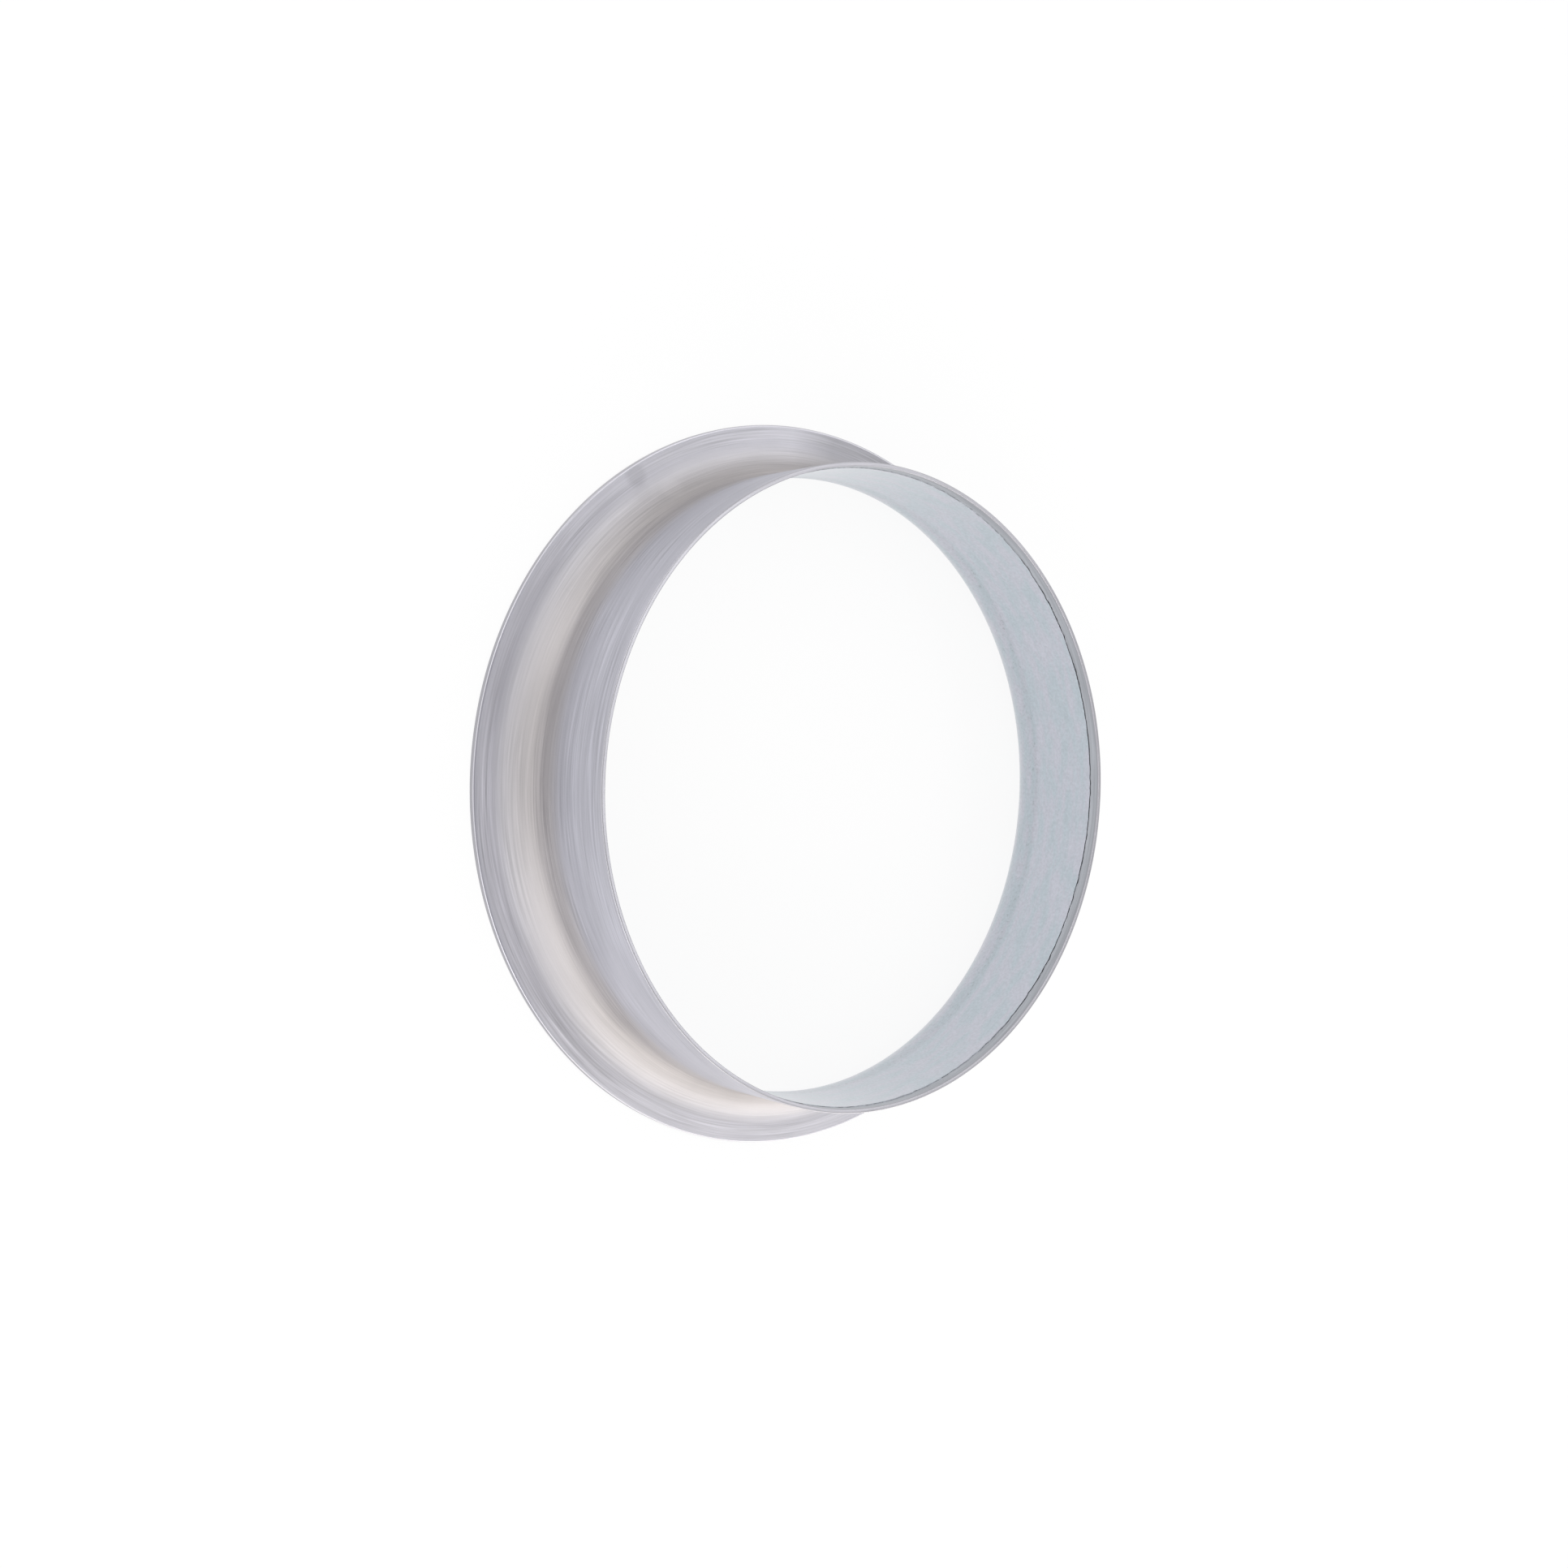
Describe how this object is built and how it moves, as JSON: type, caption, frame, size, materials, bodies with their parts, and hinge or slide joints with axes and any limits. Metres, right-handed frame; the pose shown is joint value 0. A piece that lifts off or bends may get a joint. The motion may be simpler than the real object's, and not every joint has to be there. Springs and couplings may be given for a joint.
{
  "type": "duct flange",
  "caption": "Spun aluminium duct flange: a short round spigot that turns through a quarter-round root into a narrow flat ring.",
  "frame": {"origin": "centre of the flat ring's seat, on the axis", "axes": "+Z along the axis, from the seat to the mouth of the spigot; X and Y in the seat's plane"},
  "size_m": [0.232, 0.232, 0.045],
  "materials": {
    "spun_aluminium": "spun mill finish, fine concentric tool lines outside, smooth inside"
  },
  "bodies": {
    "root": {"duct_flange": "spun_aluminium"}
  },
  "joints": []
}
